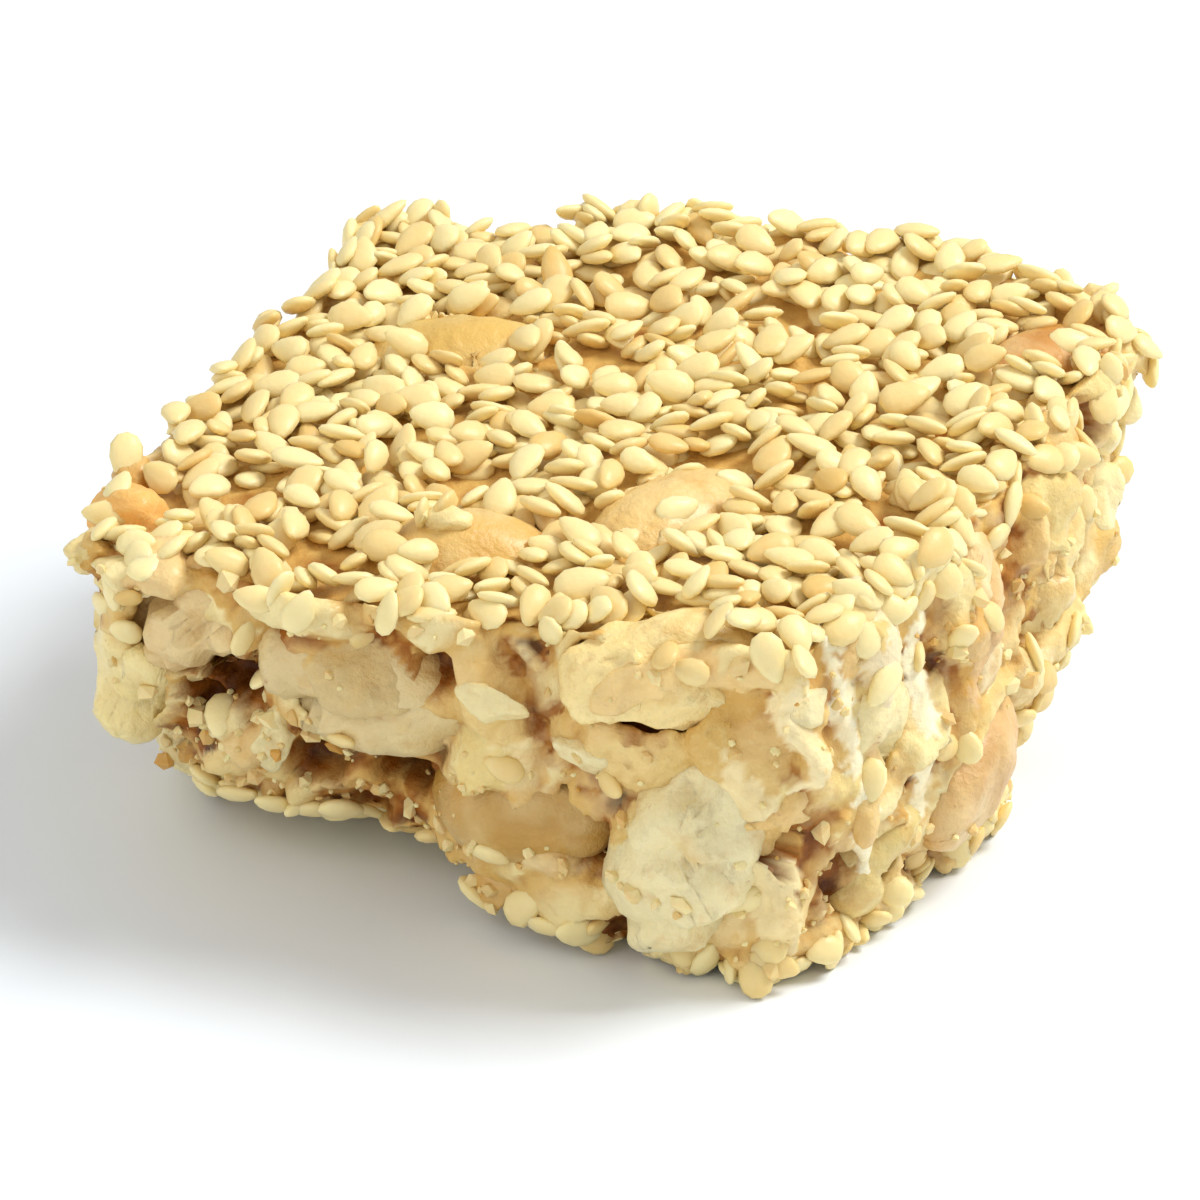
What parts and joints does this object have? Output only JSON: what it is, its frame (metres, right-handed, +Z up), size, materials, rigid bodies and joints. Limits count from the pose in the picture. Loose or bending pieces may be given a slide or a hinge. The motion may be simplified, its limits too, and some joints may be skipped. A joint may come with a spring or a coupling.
{
  "type": "sesame and peanut brittle slab",
  "caption": "Hand-cut square of sesame and peanut brittle: roasted peanut halves set in pale syrup between two crusts of sesame seed.",
  "frame": {"origin": "on the surface the slab lies on, under the middle of its box", "axes": "+Z up, from the lower sesame crust to the upper one; +X along the front cut, to the right; +Y to the back"},
  "size_m": [0.0534, 0.0534, 0.0264],
  "materials": {
    "sesame": "pale roasted sesame seed crust with a thin syrup glaze",
    "syrup": "set amber syrup, glossy where it shows between the seeds",
    "peanut": "roasted peanut, satin"
  },
  "bodies": {
    "root": {"peanut_back_1": "peanut", "peanut_back_2": "peanut", "peanut_back_3": "peanut", "peanut_back_4": "peanut", "peanut_back_5": "peanut", "peanut_core": "syrup", "peanut_front_1": "peanut", "peanut_front_2": "peanut", "peanut_front_3": "peanut", "peanut_front_4": "peanut", "peanut_front_5": "peanut", "peanut_front_6": "peanut", "peanut_front_7": "peanut", "peanut_left_1": "peanut", "peanut_left_2": "peanut", "peanut_left_3": "peanut", "peanut_left_4": "peanut", "peanut_left_5": "peanut", "peanut_right_1": "peanut", "peanut_right_2": "peanut", "peanut_right_3": "peanut", "peanut_right_4": "peanut", "peanut_right_5": "peanut", "peanut_right_6": "peanut", "peanut_top_1": "peanut", "peanut_top_2": "peanut", "peanut_top_3": "peanut", "peanut_top_4": "peanut", "sesame_bottom": "sesame", "sesame_top": "sesame"}
  },
  "joints": []
}
